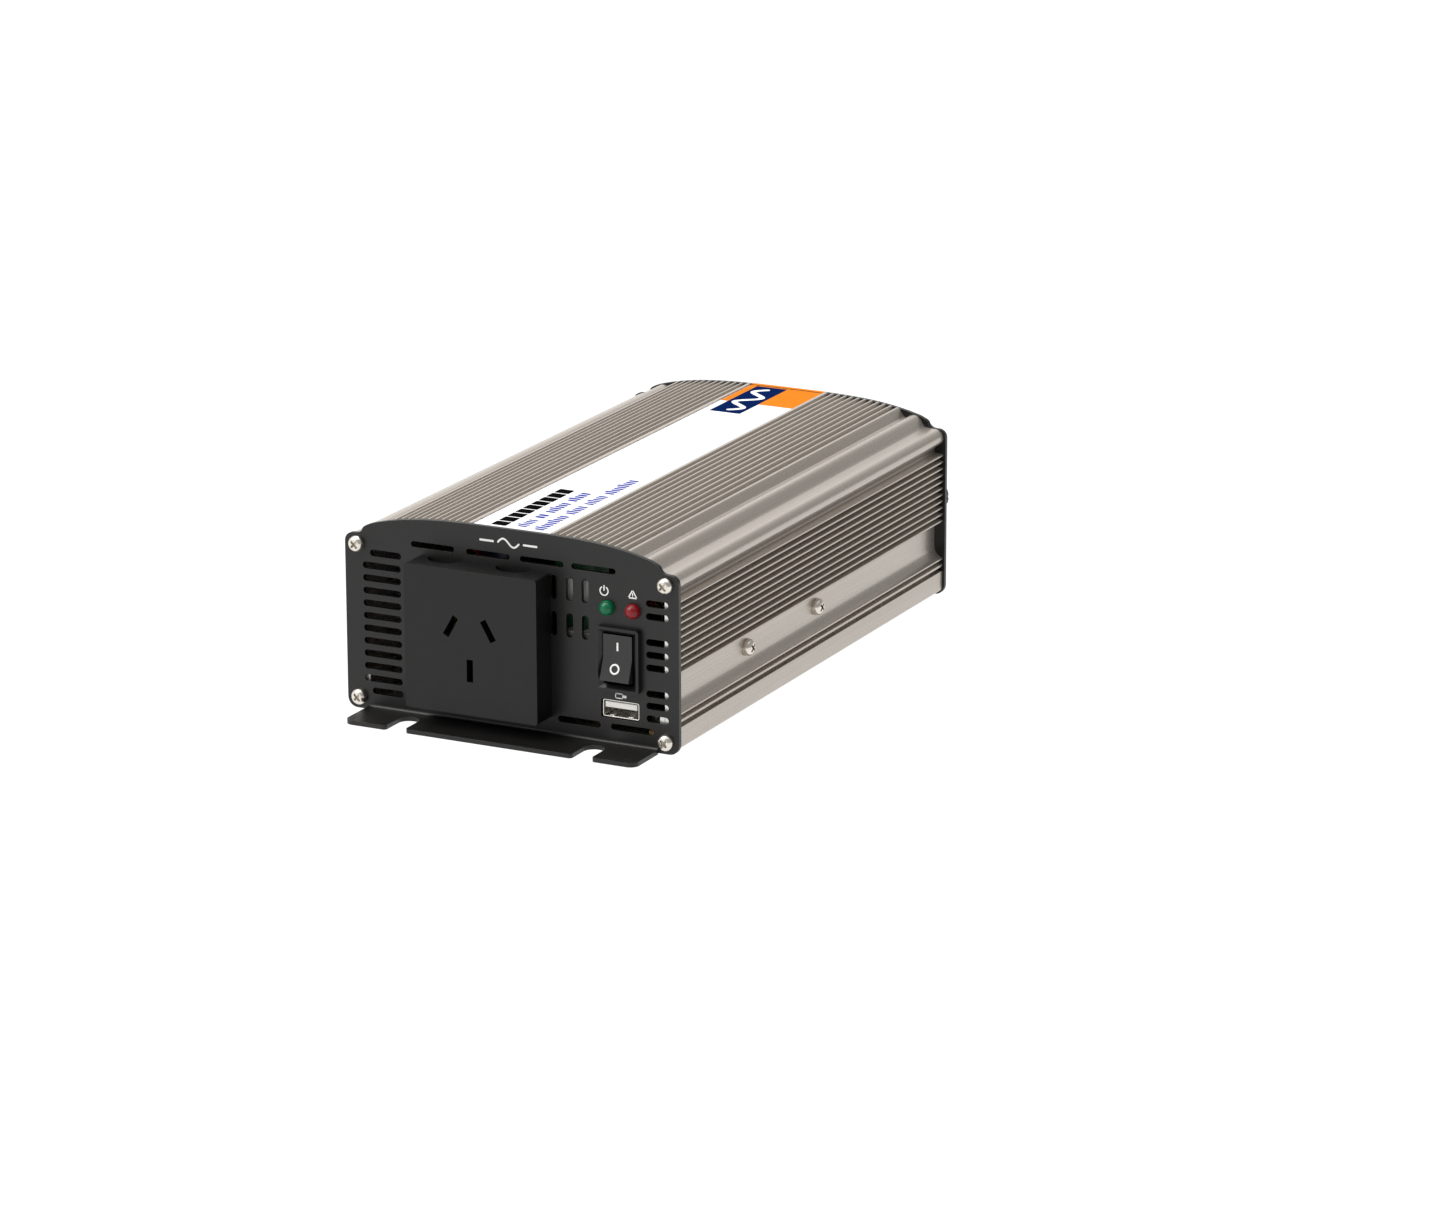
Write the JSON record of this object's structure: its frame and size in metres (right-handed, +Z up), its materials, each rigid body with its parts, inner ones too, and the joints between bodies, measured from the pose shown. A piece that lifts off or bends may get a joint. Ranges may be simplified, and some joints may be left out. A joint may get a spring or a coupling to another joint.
{
  "type": "power inverter",
  "caption": "Box-shaped power inverter in a finned aluminium extrusion, with an angled-pin mains outlet, rocker switch, port and lamps in front, and fan and battery posts behind.",
  "frame": {"origin": "on the ground plane under the centre of the whole object's box, which the mounting flanges and the battery knobs end", "axes": "+Z up, +Y from the outlet panel to the battery-terminal panel, +X to the right as one faces the outlet panel"},
  "size_m": [0.1224, 0.2434, 0.0687],
  "materials": {
    "anodised_case": "fine satin, titanium-grey anodised extrusion",
    "panel_black": "matt black powder coat",
    "nickel_screw": "bright nickel plate",
    "label_print": "printed vinyl, satin laminate",
    "outlet_plastic": "fine spark texture",
    "contact_brass": "bare brass",
    "switch_black": "satin moulding",
    "rocker_black": "semi-gloss moulding",
    "tinned_metal": "tinned plate",
    "lamp_green": "tinted clear epoxy",
    "lamp_red": "tinted clear epoxy",
    "white_plastic": "natural nylon",
    "board_green": "solder-resist lacquer on glass-fibre laminate",
    "insulating_film": "translucent film",
    "ferrite": "sintered, dull",
    "winding_tape": "yellow polyester tape",
    "black_moulding": "glass-filled moulding",
    "iron_powder": "yellow epoxy coat",
    "enamelled_copper": "enamelled copper wire",
    "capacitor_sleeve": "shrunk sleeve",
    "bare_aluminium": "mill finish",
    "thermal_rubber": "filled silicone pad",
    "fuse_amber": "translucent moulding",
    "guard_wire": "bright plated wire",
    "terminal_red": "satin moulding",
    "terminal_black": "satin moulding",
    "plated_nut": "bright zinc plate",
    "wire_red": "flexible insulation",
    "wire_black": "flexible insulation",
    "wire_brown": "flexible insulation",
    "wire_blue": "flexible insulation",
    "wire_green": "flexible insulation"
  },
  "bodies": {
    "root": {"finned_cover": "anodised_case", "base_tray": "anodised_case", "front_panel": "panel_black", "rear_panel": "panel_black", "front_panel_screws": "nickel_screw", "rear_panel_screws": "nickel_screw", "side_screws": "nickel_screw", "board_screws": "nickel_screw", "fan_screws": "nickel_screw", "top_label": "label_print", "outlet_body": "outlet_plastic", "outlet_back": "outlet_plastic", "line_contacts": "contact_brass", "earth_contact": "contact_brass", "terminal_studs": "contact_brass", "earth_stud": "contact_brass", "board_standoffs": "contact_brass", "switch_bezel": "switch_black", "switch_tabs": "tinned_metal", "transistor_tabs": "tinned_metal", "usb_shell": "tinned_metal", "power_led": "lamp_green", "fault_led": "lamp_red", "usb_tongue": "white_plastic", "white_connectors": "white_plastic", "control_board": "board_green", "main_board": "board_green", "driver_card": "board_green", "insulation_sheet": "insulating_film", "transformer_cores": "ferrite", "transformer_windings": "winding_tape", "transformer_bobbins": "black_moulding", "transistor_packages": "black_moulding", "driver_chips": "black_moulding", "buzzer": "black_moulding", "fan_frame": "black_moulding", "choke_core": "iron_powder", "choke_winding": "enamelled_copper", "fan_stator": "enamelled_copper", "input_capacitors": "capacitor_sleeve", "bus_capacitor": "capacitor_sleeve", "clamp_bars": "bare_aluminium", "thermal_pads": "thermal_rubber", "blade_fuses": "fuse_amber", "fan_guard": "guard_wire", "positive_collar": "terminal_red", "negative_collar": "terminal_black", "stud_nuts": "plated_nut", "earth_nuts": "plated_nut", "red_wires": "wire_red", "black_wires": "wire_black", "active_wire": "wire_brown", "neutral_wire": "wire_blue", "earth_wire": "wire_green"},
    "rocker": {"switch_rocker": "rocker_black"},
    "rotor": {"fan_rotor": "black_moulding"},
    "positive_clamp": {"positive_washer": "plated_nut"},
    "positive_screw": {"positive_knob": "terminal_red"},
    "negative_clamp": {"negative_washer": "plated_nut"},
    "negative_screw": {"negative_knob": "terminal_black"}
  },
  "joints": [
    {"name": "rocker_tilt", "type": "hinge", "parent": "root", "child": "rocker", "pos_m": [0.0398, -0.10335, 0.0302], "axis": [1, 0, 0], "range_deg": [0, 20]},
    {"name": "fan_spin", "type": "hinge", "parent": "root", "child": "rotor", "pos_m": [-0.025, 0.09265, 0.032], "axis": [0, 1, 0], "continuous": true},
    {"name": "positive_lift", "type": "slide", "parent": "root", "child": "positive_clamp", "axis": [0, 1, 0], "range_m": [0, 0.005]},
    {"name": "positive_turn", "type": "hinge", "parent": "positive_clamp", "child": "positive_screw", "pos_m": [0.02, 0.11315, 0.03], "axis": [0, 1, 0], "range_deg": [0, 1800]},
    {"name": "negative_lift", "type": "slide", "parent": "root", "child": "negative_clamp", "axis": [0, 1, 0], "range_m": [0, 0.005]},
    {"name": "negative_turn", "type": "hinge", "parent": "negative_clamp", "child": "negative_screw", "pos_m": [0.0449, 0.11315, 0.03], "axis": [0, 1, 0], "range_deg": [0, 1800]}
  ],
  "couplings": [
    {"joint": "positive_turn", "follows": "positive_lift", "rad_per_m": 6283.2},
    {"joint": "negative_turn", "follows": "negative_lift", "rad_per_m": 6283.2}
  ]
}
